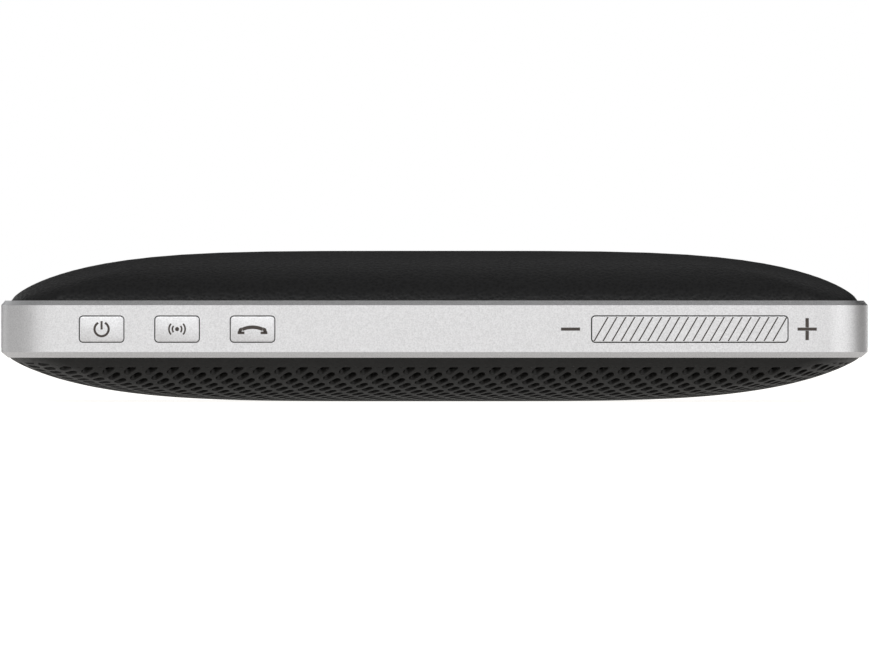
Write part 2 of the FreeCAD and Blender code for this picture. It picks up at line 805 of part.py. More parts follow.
def make_driver(side, word):
    x = f"{side} * driver_offset"
    # stamped basket: mounting flange, sloping wall and back plate
    neck = "(coil_radius + coil_wall + 0.5)"
    basket = [
        ("cone_radius + roll_width", FLANGE_Z),
        ("driver_radius", FLANGE_Z),
        ("driver_radius", f"{FLANGE_Z} + flange_metal"),
        ("cone_radius + roll_width + basket_wall", f"{FLANGE_Z} + flange_metal"),
        ("basket_back_radius", f"{BASKET_Z}"),
        ("basket_back_radius", f"{YOKE_Z}"),
        (neck, f"{YOKE_Z}"),
        (neck, f"{BASKET_Z}"),
        ("basket_back_radius - basket_wall", f"{BASKET_Z}"),
        ("cone_radius + roll_width", f"{FLANGE_Z} + flange_metal"),
    ]
    named(revolved(f"{word}_basket", basket, x), f"{word}_driver_basket")
    gasket = [
        ("driver_opening", BAFFLE_TOP),
        ("driver_radius", BAFFLE_TOP),
        ("driver_radius", FLANGE_Z),
        ("driver_opening", FLANGE_Z),
    ]
    named(revolved(f"{word}_gasket", gasket, x), f"{word}_driver_gasket")
    yoke_top = f"({YOKE_Z} + yoke_height)"
    yoke = [
        ("0", f"{yoke_top} - yoke_wall / 2"),
        (neck, f"{yoke_top} - yoke_wall / 2"),
        (neck, YOKE_Z),
        ("yoke_radius", YOKE_Z),
        ("yoke_radius", f"{yoke_top} - yoke_wall / 4"),
        ("yoke_radius - yoke_wall / 4", yoke_top),
        ("0", yoke_top),
    ]
    named(revolved(f"{word}_yoke", yoke, x), f"{word}_driver_yoke")
    magnet_top = f"({yoke_top} - yoke_wall / 2)"
    magnet = [
        ("0", f"{magnet_top} - magnet_height"),
        ("magnet_radius", f"{magnet_top} - magnet_height"),
        ("magnet_radius", magnet_top),
        ("0", magnet_top),
    ]
    named(revolved(f"{word}_magnet", magnet, x), f"{word}_driver_magnet")
    # cone, dust cap and voice coil move together; the surround flexes
    rim_z = f"({FLANGE_Z} - roll_wall)"
    neck_z = f"({rim_z} + cone_depth)"
    cone = [
        ("cone_radius", rim_z),
        ("cone_radius", f"{rim_z} + cone_wall"),
        ("coil_radius + coil_wall", f"{neck_z} + cone_wall"),
        ("coil_radius + coil_wall", neck_z),
    ]
    named(revolved(f"{word}_cone", cone, x), f"{word}_driver_cone")
    coil = [
        ("coil_radius", neck_z),
        ("coil_radius + coil_wall", neck_z),
        ("coil_radius + coil_wall", f"{neck_z} + coil_length"),
        ("coil_radius", f"{neck_z} + coil_length"),
    ]
    named(revolved(f"{word}_coil", coil, x), f"{word}_driver_coil")
    cap_z = neck_z
    cap = [("0", f"{cap_z} - cap_rise")]
    cap += [(f"coil_radius * {k}", f"{cap_z} - cap_rise * (1 - {k} ^ 2)") for k in (0.35, 0.65, 0.85)]
    cap += [("coil_radius", cap_z), ("coil_radius", f"{cap_z} + cone_wall")]
    cap += [(f"coil_radius * {k}", f"{cap_z} + cone_wall - cap_rise * (1 - {k} ^ 2)") for k in (0.85, 0.65, 0.35)]
    cap += [("0", f"{cap_z} + cone_wall - cap_rise")]
    named(revolved(f"{word}_cap", cap, x), f"{word}_driver_dust_cap")
    inner, outer = "cone_radius", "(cone_radius + roll_width)"
    steps = (0.0, 0.25, 0.5, 0.75, 1.0)
    roll = [(f"{inner} + roll_width * {k}", f"{rim_z} - 4 * roll_width * 0.4 * {k} * (1 - {k})") for k in steps]
    roll += [("driver_opening - 0.1", rim_z), ("driver_opening - 0.1", f"{rim_z} + roll_wall"), (outer, f"{rim_z} + roll_wall")]
    roll += [
        (f"{inner} + roll_width * {k}", f"{rim_z} + roll_wall - 4 * roll_width * 0.4 * {k} * (1 - {k})")
        for k in steps[-2::-1]
    ]
    named(revolved(f"{word}_surround", roll, x), f"{word}_driver_surround")


# ---------------------------------------------------------------- battery and main board


def make_power_and_logic():
    pad = box("battery_pad", ("battery_length * 0.8", "battery_width * 0.8", "pad_thick"), "0", "0", PAD_Z)
    named(pad, "battery_pad")
    named(
        prism("battery", "battery_length", "battery_width", "battery_corner", "battery_thick", z=BATTERY_Z), "battery_pack"
    )
    board = box("main_block", ("main_length", "main_width", "main_thick"), "0", "-main_shift", MAIN_Z)
    holes = [
        rod(f"main_hole_{n}", "small_screw_radius + hole_gap", "main_thick + 2", x, y, f"{MAIN_Z} - 1")
        for n, (x, y) in enumerate(POSTS)
    ]
    named(cut("main", board, *holes), "main_board")
    named(
        box("shield", ("shield_length", "shield_width", "shield_height"), "-main_length / 5", "-main_width / 4", MAIN_TOP),
        "radio_shield",
    )
    chips = [
        box(f"chip_{n}", ("chip_size * " + str(k), "chip_size * " + str(k), "chip_height"), x, y, MAIN_TOP)
        for n, (k, x, y) in enumerate(
            ((1.0, "main_length / 5", "-main_width / 4"), (0.6, "0", "-main_width / 3"), (0.7, "0", "main_width / 8"))
        )
    ]
    named(fuse("chips", *chips), "board_chips")
    small = [
        screw(f"small_screw_{n}", x, y, MAIN_Z, "small_screw_radius", "small_screw_length", "small_head_radius", "small_head_height")
        for n, (x, y) in enumerate(POSTS)
    ]
    named(fuse("board_screws", *small), "board_screws")


def screw(name, x, y, seat, radius, length, head_radius, head_height):
    """A screw driven upwards: its head hangs below the seat."""
    head = rod(f"{name}_head", head_radius, head_height, x, y, f"{seat} - {head_height}")
    shank = rod(f"{name}_shank", radius, f"{length} + {head_height} / 2", x, y, f"{seat} - {head_height} / 2")
    drive = rod(f"{name}_drive", f"{head_radius} / 2", f"{head_height} / 2", x, y, f"{seat} - {head_height}")
    return cut(name, fuse(f"{name}_solid", head, shank), drive)


def make_case_screws():
    made = [
        screw(f"case_screw_{n}", x, y, BAFFLE_LOW, "screw_radius", "screw_length", "head_radius", "head_height")
        for n, (x, y) in enumerate(SCREWS)
    ]
    named(fuse("case_screws", *made), "case_screws")


# ---------------------------------------------------------------- sockets, light and microphones


def usb_like(name, y, width, height, depth, tongue_width, tongue_thick, tongue_z):
    """A stamped shell open at the mouth, with a moulded base and tongue inside it."""
    middle = f"{SOCKET_X} + {depth} / 2"
    shell = box(f"{name}_block", (depth, width, height), middle, y, f"{MID} - {height} / 2")
    hollow = box(f"{name}_hollow", (f"{depth} + 2", f"{width} - 2 * usb_wall", f"{height} - 2 * usb_wall"), middle, y, f"{MID} - {height} / 2 + usb_wall")
    named(cut(f"{name}_shell", shell, hollow), f"{name}_socket_shell")
    base = box(f"{name}_base", ("socket_base", f"{width} - 2 * usb_wall", f"{height} - 2 * usb_wall"), f"{SOCKET_X} + {depth} - socket_base / 2", y, f"{MID} - {height} / 2 + usb_wall")
    reach = f"({depth} - socket_base - 0.6)"
    tongue = box(f"{name}_tongue", (f"{reach} + 0.1", tongue_width, tongue_thick), f"{SOCKET_X} + {depth} - socket_base - {reach} / 2 + 0.05", y, tongue_z)
    named(fuse(f"{name}_insert", base, tongue), f"{name}_socket_insert")


def make_sockets():
    usb_like("output", "usb_y", "usb_width", "usb_height", "usb_depth", "usb_tongue_width", "usb_tongue_thick", f"{MID} + 0.25")
    usb_like("charging", "0", "charge_width", "charge_height", "charge_depth", "charge_tongue_width", "charge_tongue_thick", f"{MID} - charge_tongue_thick / 2")
    jack = box("jack_block", ("jack_depth", "jack_width", "jack_height"), f"{SOCKET_X} + jack_depth / 2", "-jack_y", f"{MID} - jack_height / 2")
    bore = rod("jack_hole", "jack_bore", "jack_bore_depth + 1", f"{SOCKET_X} + jack_bore_depth", "-jack_y", MID, TO_LEFT)
    named(cut("jack", jack, bore), "audio_socket")
    low_y = "(jack_width / 2 - jack_y)"
    wide = f"(usb_y - usb_width / 2 - {low_y})"
    board = box("port_block", ("port_board_depth", wide, "board_thick"), f"port_board_inset + port_board_depth / 2 - {HALF_L}", f"{low_y} + {wide} / 2", f"{MID} - charge_height / 2 - board_thick")
    named(board, "port_board")
    named(rod("light", "light_radius", "light_length", f"light_length - {HALF_L}", "light_y", MID, TO_LEFT), "charge_light_pipe")


def make_microphones():
    boots = []
    for side, word in ((-1, "left"), (1, "right")):
        x, y = f"{side} * mic_x", "-mic_y"
        rubber = rod(f"{word}_boot_block", "boot_radius", "boot_height", x, y, f"{BAFFLE_LOW} - boot_height")
        seat = rod(f"{word}_boot_seat", "mic_radius", "mic_height + 1", x, y, f"{BAFFLE_LOW} - mic_height")
        port = rod(f"{word}_boot_port", "mic_port", "boot_height", x, y, f"{BAFFLE_LOW} - boot_height - 1")
        boots.append(cut(f"{word}_boot", rubber, fuse(f"{word}_boot_hole", seat, port)))
        named(rod(f"{word}_mic", "mic_radius", "mic_height", x, y, f"{BAFFLE_LOW} - mic_height"), f"{word}_microphone")
    named(fuse("boots", *boots), "microphone_boots")


# ---------------------------------------------------------------- build, check and write


def build():
    make_band()
    make_feet()
    make_back()
    make_stand()
    make_front()
    make_baffle()
    make_keys()
    make_rocker()
    make_key_board()
    for side, word in ((-1, "left"), (1, "right")):
        make_driver(side, word)
    make_power_and_logic()
    make_case_screws()
    make_sockets()
    make_microphones()
    doc.recompute()


def check():
    for thing in doc.Objects:
        if "Invalid" in thing.State or "Error" in thing.State:
            raise RuntimeError(f"{thing.Name} failed: {thing.State}")
    for label, piece in PIECES.items():
        shape = piece.Shape
        if shape.isNull() or not shape.isValid() or not shape.Solids:
            raise RuntimeError(f"{label} has no valid solid")
        if piece.Label != label:
            raise RuntimeError(f"{label} is labelled {piece.Label}")


def write():
    os.makedirs("parts", exist_ok=True)
    for label, piece in PIECES.items():
        piece.Shape.exportStep(f"parts/{label}.step")
        solids = piece.Shape.Solids
        print(f"{label}: {len(solids)} solid(s), {sum(s.Volume for s in solids):.1f} mm3")


build()
check()
write()
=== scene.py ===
"""Visual model of the slab speakerphone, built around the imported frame.

Lengths in the named values are metres. X runs along the case, -Y faces the viewer, Z points at the leather.
"""

import json
import math

import bpy
import numpy as np
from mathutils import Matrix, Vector
from mathutils.geometry import delaunay_2d_cdt


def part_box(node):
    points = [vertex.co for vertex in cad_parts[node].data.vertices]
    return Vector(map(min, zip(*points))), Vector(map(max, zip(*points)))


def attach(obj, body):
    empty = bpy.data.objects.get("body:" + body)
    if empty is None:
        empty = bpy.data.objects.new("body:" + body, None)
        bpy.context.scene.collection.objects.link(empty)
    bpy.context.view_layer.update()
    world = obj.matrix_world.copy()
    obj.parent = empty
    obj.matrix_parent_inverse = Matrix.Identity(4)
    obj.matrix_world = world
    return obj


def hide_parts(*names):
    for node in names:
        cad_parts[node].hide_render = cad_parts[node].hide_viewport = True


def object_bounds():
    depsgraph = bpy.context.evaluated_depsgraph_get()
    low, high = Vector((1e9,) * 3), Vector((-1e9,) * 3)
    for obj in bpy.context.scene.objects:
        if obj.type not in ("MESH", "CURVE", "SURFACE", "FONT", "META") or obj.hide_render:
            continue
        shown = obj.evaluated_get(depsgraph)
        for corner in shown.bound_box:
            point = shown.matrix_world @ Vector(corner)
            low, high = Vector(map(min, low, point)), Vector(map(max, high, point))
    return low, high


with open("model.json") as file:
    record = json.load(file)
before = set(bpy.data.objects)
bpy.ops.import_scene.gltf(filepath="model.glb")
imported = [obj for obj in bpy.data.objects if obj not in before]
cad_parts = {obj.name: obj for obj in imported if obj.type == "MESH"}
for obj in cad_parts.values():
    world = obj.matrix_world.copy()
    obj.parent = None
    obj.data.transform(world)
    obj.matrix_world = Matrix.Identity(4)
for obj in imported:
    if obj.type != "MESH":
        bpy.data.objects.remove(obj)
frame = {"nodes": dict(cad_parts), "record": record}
cad_low, cad_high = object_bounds()

MM = 0.001

# ---------------------------------------------------------------- places read from the frame

band_low, band_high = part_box("frame_band")
leather_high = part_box("back_leather")[1]
grille_low, grille_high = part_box("front_grille")
leaf_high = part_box("stand_leaf")[1]
pin_low, pin_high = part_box("stand_hinge_pin")
rocker_low, rocker_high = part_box("volume_rocker")

HALF_W = band_high.y
MID_Z = (band_low.z + band_high.z) / 2
KEY_FACE = rocker_low.y
BAND_FACE = band_low.y
HINGE_Y = (pin_low.y + pin_high.y) / 2
HINGE_Z = (pin_low.z + pin_high.z) / 2

# ---------------------------------------------------------------- shapes of the two crowns

CORNER = 9.0 * MM
CROWN_ROUND = 0.75


class Crown:
    """A pillow over a rounded rectangle; up is +1 for the back and -1 for the front."""

    def __init__(self, half_l, half_w, base, rise, power, ease, up):
        self.half_l, self.half_w = half_l, half_w
        self.base, self.rise, self.power, self.ease, self.up = base, rise, power, ease, up
        self.radius = CORNER - (HALF_W - half_w)

    def inset(self, depth):
        """The same pillow taken in by depth all over."""
        half_l, half_w, rise = self.half_l - depth, self.half_w - depth, self.rise - depth
        return Crown(half_l, half_w, self.base, rise, self.power, self.ease, self.up)

    def level(self, x, y):
        """How far out a point lies: 0 at the middle, 1 at the rim."""
        low, high = np.zeros_like(x), np.full_like(x, 1.2)
        for _ in range(36):
            t = (low + high) / 2
            radius = t * (self.radius + CROWN_ROUND * self.half_w * np.maximum(1 - t, 0))
            qx = np.abs(x) - (self.half_l * t - radius)
            qy = np.abs(y) - (self.half_w * t - radius)
            corner = np.hypot(np.maximum(qx, 0), np.maximum(qy, 0))
            outside = corner + np.minimum(np.maximum(qx, qy), 0) - radius
            low = np.where(outside > 0, t, low)
            high = np.where(outside > 0, high, t)
        return (low + high) / 2

    def height(self, x, y):
        t = np.clip(self.level(x, y), 0, 1)
        return self.base + self.up * self.rise * (1 - t**self.power) ** self.ease

    def normal(self, x, y):
        step = 0.05 * MM
        dx = (self.height(x + step, y) - self.height(x - step, y)) / (2 * step)
        dy = (self.height(x, y + step) - self.height(x, y - step)) / (2 * step)
        n = np.stack([-dx, -dy, np.ones_like(dx)], axis=1) * self.up
        return n / np.linalg.norm(n, axis=1, keepdims=True)


BACK = Crown(leather_high.x, leather_high.y, band_high.z, leather_high.z - band_high.z, 4.4, 0.72, 1)
FRONT = Crown(grille_high.x, grille_high.y, band_low.z, band_low.z - grille_low.z, 4.5, 0.85, -1)


def rounded_rectangle(half_l, half_w, radius, arc=10, side=0):
    """Points round a rounded rectangle, anticlockwise, with side extra points along each straight edge."""
    centres = ((1, -1, -90), (1, 1, 0), (-1, 1, 90), (-1, -1, 180))
    corners = []
    for sx, sy, start in centres:
        turn = [math.radians(start + 90 * k / arc) for k in range(arc + 1)]
        cx, cy = sx * (half_l - radius), sy * (half_w - radius)
        corners.append([(cx + radius * math.cos(a), cy + radius * math.sin(a)) for a in turn])
    points = []
    for n, corner in enumerate(corners):
        points += corner
        (ax, ay), (bx, by) = corner[-1], corners[(n + 1) % 4][0]
        for k in range(1, side + 1):
            points.append((ax + (bx - ax) * k / (side + 1), ay + (by - ay) * k / (side + 1)))
    return np.array(points)


def crown_rings(crown, levels, arc=10, side=30):
    """Contours of a crown at some levels, used as extra points that follow its curve."""
    rings = []
    for t in levels:
        radius = t * (crown.radius + CROWN_ROUND * crown.half_w * (1 - t))
        rings.append(rounded_rectangle(crown.half_l * t, crown.half_w * t, radius, arc, side))
    return rings


# ---------------------------------------------------------------- mesh helpers


def new_piece(name, vertices, faces, body, slot, material, replaces=()):
    mesh = bpy.data.meshes.new(name)
    mesh.from_pydata([tuple(v) for v in vertices], [], [tuple(int(i) for i in f) for f in faces])
    mesh.validate()
    mesh.update()
    piece = bpy.data.objects.new(name, mesh)
    bpy.context.scene.collection.objects.link(piece)
    mesh.materials.append(material)
    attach(piece, body)
    if replaces:
        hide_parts(*replaces)
    return piece


def smooth(piece, degrees=30):
    for polygon in piece.data.polygons:
        polygon.use_smooth = True
    piece.data.set_sharp_from_angle(angle=math.radians(degrees))
    return piece


def plate(loops, extra, keep, top, steps):
    """A sheet cut from loops in plan and lifted onto a surface, with walls down its edges.

    keep(x, y) says which parts of the plan are solid, top gives height(x, y) and normal(x, y), and steps
    lists (outward shift, depth) rings of each edge wall, the last of which also carries the inner face.
    Returns vertices, faces and the normal for each corner of each face.
    """
    points, edges = [], []
    for loop in loops:
        first = len(points)
        points += [Vector((float(x), float(y))) for x, y in loop]
        count = len(loop)
        edges += [(first + k, first + (k + 1) % count) for k in range(count)]
    points += [Vector((float(x), float(y))) for x, y in extra]
    flat, _, triangles, _, _, _ = delaunay_2d_cdt(points, edges, [], 0, 1e-8)
    xy = np.array([(p.x, p.y) for p in flat])
    tri = np.array(triangles)
    area = np.cross(xy[tri[:, 1]] - xy[tri[:, 0]], xy[tri[:, 2]] - xy[tri[:, 0]])
    middle = xy[tri].mean(axis=1)
    tri = tri[keep(middle[:, 0], middle[:, 1]) & (np.abs(area) > 1e-13)]
    area = np.cross(xy[tri[:, 1]] - xy[tri[:, 0]], xy[tri[:, 2]] - xy[tri[:, 0]])
    tri[area < 0] = tri[area < 0][:, ::-1]
    used = np.unique(tri)
    place = np.full(len(xy), -1)
    place[used] = np.arange(len(used))
    xy, tri = xy[used], place[tri]
    count = len(xy)

    sides = np.concatenate([tri[:, [0, 1]], tri[:, [1, 2]], tri[:, [2, 0]]])
    codes = {(a, b) for a, b in sides.tolist()}
    rim = np.array([(a, b) for a, b in codes if (b, a) not in codes])
    along = xy[rim[:, 1]] - xy[rim[:, 0]]
    along /= np.linalg.norm(along, axis=1, keepdims=True)
    away = np.stack([along[:, 1], -along[:, 0]], axis=1)
    out = np.zeros((count, 2))
    np.add.at(out, rim[:, 0], away)
    np.add.at(out, rim[:, 1], away)
    size = np.linalg.norm(out, axis=1)
    on_rim = size > 1e-6
    out[on_rim] /= size[on_rim, None]

    up = top.up
    upper_normal = top.normal(xy[:, 0], xy[:, 1])
    flat_out = np.concatenate([out, np.zeros((count, 1))], axis=1)
    rings = [np.column_stack([xy, top.height(xy[:, 0], xy[:, 1])])]
    for shift, depth in steps:
        moved = xy + out * shift
        rings.append(np.column_stack([moved, rings[0][:, 2] - up * depth]))
    vertices = np.concatenate(rings)
    last = len(steps) * count
    faces, corners = [], []

    def turn(face):
        return face if up > 0 else face[::-1]

    for a, b, c in tri.tolist():
        faces.append(turn((a, b, c)))
        corners += [upper_normal[i] for i in turn((a, b, c))]
        faces.append(turn((c + last, b + last, a + last)))
        corners += [-upper_normal[i] for i in turn((c, b, a))]
    previous = (0.0, 0.0)
    for n, (shift, depth) in enumerate(steps):
        run, drop = shift - previous[0], depth - previous[1]
        tilt = math.hypot(run, drop)
        wall = flat_out * (drop / tilt) + upper_normal * (run / tilt)
        wall /= np.maximum(np.linalg.norm(wall, axis=1, keepdims=True), 1e-9)
        high, low = n * count, (n + 1) * count
        for a, b in rim.tolist():
            faces.append(turn((b + high, a + high, a + low, b + low)))
            corners += [wall[i] for i in turn((b, a, a, b))]
        previous = (shift, depth)
    keep_vertices = np.unique(np.concatenate([np.array(f) for f in faces]))
    renumber = np.full(len(vertices), -1)
    renumber[keep_vertices] = np.arange(len(keep_vertices))
    faces = [tuple(int(renumber[i]) for i in f) for f in faces]
    return vertices[keep_vertices], faces, corners


def plate_piece(name, made, body, slot, material, replaces=()):
    vertices, faces, corners = made
    piece = new_piece(name, vertices, faces, body, slot, material, replaces)
    for polygon in piece.data.polygons:
        polygon.use_smooth = True
    if len(piece.data.loops) == len(corners):
        piece.data.normals_split_custom_set([tuple(n) for n in corners])
    else:
        smooth(piece, 40)
    return piece


def inside_rounded(half_l, half_w, radius, cx=0.0, cy=0.0):
    def test(x, y):
        qx, qy = np.abs(x - cx) - (half_l - radius), np.abs(y - cy) - (half_w - radius)
        return np.hypot(np.maximum(qx, 0), np.maximum(qy, 0)) + np.minimum(np.maximum(qx, qy), 0) < radius

    return test


# ---------------------------------------------------------------- materials


def node(tree, kind, **settings):
    made = tree.nodes.new(kind)
    for key, value in settings.items():
        if key in made.inputs:
            made.inputs[key].default_value = value
        else:
            setattr(made, key, value)
    return made


class Surface:
    """A principled material with short ways to add noise, grain and bump."""

    def __init__(self, name, colour, roughness, metallic=0.0, **sockets):
        self.material = bpy.data.materials.new(name)
        self.material.use_nodes = True
        self.tree = self.material.node_tree
        self.shader = self.tree.nodes["Principled BSDF"]
        self.shader.inputs["Base Color"].default_value = (*colour, 1)
        self.shader.inputs["Roughness"].default_value = roughness
        self.shader.inputs["Metallic"].default_value = metallic
        for key, value in sockets.items():
            self.shader.inputs[key.replace("_", " ")].default_value = value
        self.coords = self.tree.nodes.new("ShaderNodeTexCoord").outputs["Object"]

    def link(self, a, b):
        self.tree.links.new(a, b)

    def noise(self, size, detail=3.0, stretch=(1, 1, 1)):
        mapping = self.tree.nodes.new("ShaderNodeMapping")
        mapping.inputs["Scale"].default_value = [1 / (size * s) for s in stretch]
        self.link(self.coords, mapping.inputs["Vector"])
        made = node(self.tree, "ShaderNodeTexNoise", Scale=1.0, Detail=detail)
        self.link(mapping.outputs["Vector"], made.inputs["Vector"])
        return made.outputs["Fac"]

    def cells(self, size, feature="SMOOTH_F1"):
        made = node(self.tree, "ShaderNodeTexVoronoi", feature=feature)
        made.inputs["Scale"].default_value = 1 / size
        if feature == "SMOOTH_F1":
            made.inputs["Smoothness"].default_value = 0.35
        self.link(self.coords, made.inputs["Vector"])
        return made.outputs["Distance"]

    def ramp(self, fac, low, high, a, b):
        """Maps fac from low..high to a..b."""
        made = self.tree.nodes.new("ShaderNodeMapRange")
        for key, value in (("From Min", low), ("From Max", high), ("To Min", a), ("To Max", b)):
            made.inputs[key].default_value = value
        self.link(fac, made.inputs["Value"])
        return made.outputs["Result"]

    def tint(self, fac, other, low=0.3, high=0.7):
        """Mixes the base colour towards another by a pattern."""
        mix = self.tree.nodes.new("ShaderNodeMix")
        mix.data_type = "RGBA"
        old = self.shader.inputs["Base Color"]
        if old.is_linked:
            self.link(old.links[0].from_socket, mix.inputs[6])
        else:
            mix.inputs[6].default_value = old.default_value[:]
        mix.inputs[7].default_value = (*other, 1)
        self.link(self.ramp(fac, low, high, 0, 1), mix.inputs[0])
        self.link(mix.outputs[2], old)
        return self

    def vary_roughness(self, fac, low, high):
        self.link(self.ramp(fac, 0.3, 0.7, low, high), self.shader.inputs["Roughness"])
        return self

    def bump(self, fac, distance, strength=1.0):
        made = node(self.tree, "ShaderNodeBump", Strength=strength, Distance=distance)
        self.link(fac, made.inputs["Height"])
        old = self.shader.inputs["Normal"]
        if old.is_linked:
            self.link(old.links[0].from_socket, made.inputs["Normal"])
        self.link(made.outputs["Normal"], old)
        return self


def aluminium_look(name="satin_aluminium", colour=(0.76, 0.76, 0.77), grain=0.2 * MM):
    made = Surface(name, colour, 0.36, 1.0)
    made.tint(made.noise(grain, 2.0), tuple(c * 0.8 for c in colour), 0.35, 0.75)
    made.vary_roughness(made.noise(grain * 1.3, 2.0), 0.30, 0.44)
    made.bump(made.noise(grain, 2.0), 0.012 * MM, 0.6)
    return made.material


def leather_look():
    made = Surface("black_leather", (0.004, 0.004, 0.0043), 0.5, 0.0, Specular_IOR_Level=0.28)
    made.tint(made.noise(9 * MM, 4.0), (0.007, 0.007, 0.0074))
    made.tint(made.cells(0.55 * MM), (0.011, 0.011, 0.0114), 0.25, 0.6)
    made.vary_roughness(made.noise(0.5 * MM, 3.0), 0.34, 0.52)
    made.bump(made.cells(0.55 * MM), 0.07 * MM, 0.8)
    made.bump(made.noise(0.2 * MM, 4.0), 0.03 * MM, 0.7)
    made.bump(made.noise(3.5 * MM, 3.0), 0.08 * MM, 0.5)
    return made.material


def grille_look():
    made = Surface("black_grille", (0.007, 0.0067, 0.006), 0.42, 0.0, Specular_IOR_Level=0.3)
    made.tint(made.noise(0.3 * MM, 3.0), (0.013, 0.0125, 0.0115))
    made.vary_roughness(made.noise(0.6 * MM, 3.0), 0.34, 0.5)
    made.bump(made.noise(0.12 * MM, 2.0), 0.008 * MM, 0.5)
    return made.material


def plastic_look(name, colour, roughness=0.5, grain=0.12 * MM, shift=1.5):
    made = Surface(name, colour, roughness)
    made.tint(made.noise(grain * 6, 3.0), tuple(min(1.0, c * shift) for c in colour))
    made.vary_roughness(made.noise(grain * 3, 2.0), roughness - 0.06, roughness + 0.08)
    made.bump(made.cells(grain), 0.01 * MM, 0.5)
    return made.material


def cloth_look():
    made = Surface("acoustic_cloth", (0.003, 0.003, 0.003), 0.9, 0.0, Specular_IOR_Level=0.2)
    wave = node(made.tree, "ShaderNodeTexWave", Scale=1 / (0.35 * MM) / 6.283)
    made.link(made.coords, wave.inputs["Vector"])
    cross = node(made.tree, "ShaderNodeTexWave", bands_direction="Y", Scale=1 / (0.35 * MM) / 6.283)
    made.link(made.coords, cross.inputs["Vector"])
    made.tint(made.noise(0.8 * MM, 2.0), (0.006, 0.006, 0.006))
    made.bump(wave.outputs["Fac"], 0.04 * MM, 0.6)
    made.bump(cross.outputs["Fac"], 0.04 * MM, 0.6)
    return made.material


def brushed_look(name, colour, roughness=0.32, along=(12, 1, 1)):
    made = Surface(name, colour, roughness, 1.0)
    made.tint(made.noise(0.25 * MM, 3.0, along), tuple(c * 0.75 for c in colour))
    made.vary_roughness(made.noise(0.2 * MM, 2.0, along), roughness - 0.06, roughness + 0.1)
    made.bump(made.noise(0.2 * MM, 2.0, along), 0.004 * MM, 0.4)
    return made.material


def board_look():
    made = Surface("circuit_board", (0.01, 0.10, 0.04), 0.35, 0.0, Coat_Weight=0.4)
    made.tint(made.cells(2.4 * MM, "DISTANCE_TO_EDGE"), (0.02, 0.19, 0.08), 0.0, 0.12)
    made.bump(made.cells(2.4 * MM, "DISTANCE_TO_EDGE"), 0.02 * MM, 0.4)
    return made.material


LOOKS = {
    "satin_aluminium": aluminium_look(),
    "black_leather": leather_look(),
    "black_grille": grille_look(),
    "black_rubber": plastic_look("black_rubber", (0.018, 0.018, 0.018), 0.72),
    "black_foam": plastic_look("black_foam", (0.03, 0.03, 0.03), 0.9, 0.3 * MM),
    "black_plastic": plastic_look("black_plastic", (0.016, 0.016, 0.017), 0.48),
    "stand_metal": plastic_look("stand_metal", (0.02, 0.02, 0.021), 0.38, 0.1 * MM),
    "steel": brushed_look("steel", (0.62, 0.62, 0.63)),
    "magnet_plating": brushed_look("magnet_plating", (0.75, 0.74, 0.72), 0.2, (1, 1, 1)),
    "copper_wire": brushed_look("copper_wire", (0.72, 0.36, 0.2), 0.35, (1, 1, 0.3)),
    "cone_paper": plastic_look("cone_paper", (0.04, 0.04, 0.04), 0.8, 0.25 * MM),
    "acoustic_cloth": cloth_look(),
    "circuit_board": board_look(),
    "chip_black": plastic_look("chip_black", (0.02, 0.02, 0.02), 0.55),
    "battery_wrap": brushed_look("battery_wrap", (0.6, 0.62, 0.65), 0.4, (1, 4, 1)),
    "light_pipe": plastic_look("light_pipe", (0.75, 0.78, 0.82), 0.25, 0.2 * MM, 1.1),
}
# Dark ink for the printed key symbols and band marks; the same ink is also laid in the rocker's grooves as
# painted shade.
INK_AND_GROOVE_SHADE = plastic_look("key_ink_and_groove_shade", (0.055, 0.045, 0.04), 0.6, 0.15 * MM, 1.6)


def dress_cad_nodes():
    slots = {part["node"]: part["material_slot"] for part in frame["record"]["subparts"]}
    for name, obj in frame["nodes"].items():
        obj.data.materials.clear()
        obj.data.materials.append(LOOKS[slots[name]])


# ---------------------------------------------------------------- leather back and stand

POCKET_GAP = 0.3 * MM
POCKET_REACH = 1.6 * MM
THUMB_HALF, THUMB_REACH = 5.5 * MM, 3.0 * MM
LEAF_CORNER = 3.0 * MM
KNUCKLE_RADIUS, KNUCKLE_BORE = 1.0 * MM, 0.54 * MM
LEATHER_THICK = 0.9 * MM
LEATHER_EDGE = (
    (0.10 * MM, 0.03 * MM),
    (0.17 * MM, 0.10 * MM),
    (0.20 * MM, 0.22 * MM),
    (0.20 * MM, LEATHER_THICK),
)
# Closer together near the rim, where the crown bends most.
RIM_LEVELS = (0.992, 0.984, 0.974, 0.962, 0.948, 0.93, 0.91, 0.885, 0.855)
CROWN_LEVELS = RIM_LEVELS + (0.82, 0.78, 0.73, 0.67, 0.6, 0.51, 0.4, 0.28, 0.14)


def arc_points(cx, cy, radius, start, end, steps=8):
    turn = [math.radians(start + (end - start) * k / steps) for k in range(steps + 1)]
    return [(cx + radius * math.cos(a), cy + radius * math.sin(a)) for a in turn]


def pocket_outline(grow=0.0):
    """The stand's pocket in plan: square at the hinge, round at the free end, with a notch for a thumb."""
    side = leaf_high.x + POCKET_GAP + grow
    near = HINGE_Y - POCKET_REACH - grow
    far = leaf_high.y + POCKET_GAP + grow
    corner = LEAF_CORNER + POCKET_GAP
    thumb = THUMB_HALF + grow
    tip = leaf_high.y + THUMB_REACH + grow
    bend = 2.2 * MM
    points = [(-side, near), (side, near)]
    points += arc_points(side - corner, far - corner, corner, 0, 90)
    points += [(thumb, far)] + arc_points(thumb - bend, tip - bend, bend, 0, 90)
    points += arc_points(bend - thumb, tip - bend, bend, 90, 180) + [(-thumb, far)]
    points += arc_points(corner - side, far - corner, corner, 90, 180)
    return points


def inside_polygon(points):
    def test(x, y):
        inside = np.zeros(len(x), bool)
        for (ax, ay), (bx, by) in zip(points, points[1:] + points[:1]):
            if ay != by:
                crosses = ((ay > y) != (by > y)) & (x < (bx - ax) * (y - ay) / (by - ay) + ax)
                inside ^= crosses
        return inside

    return test


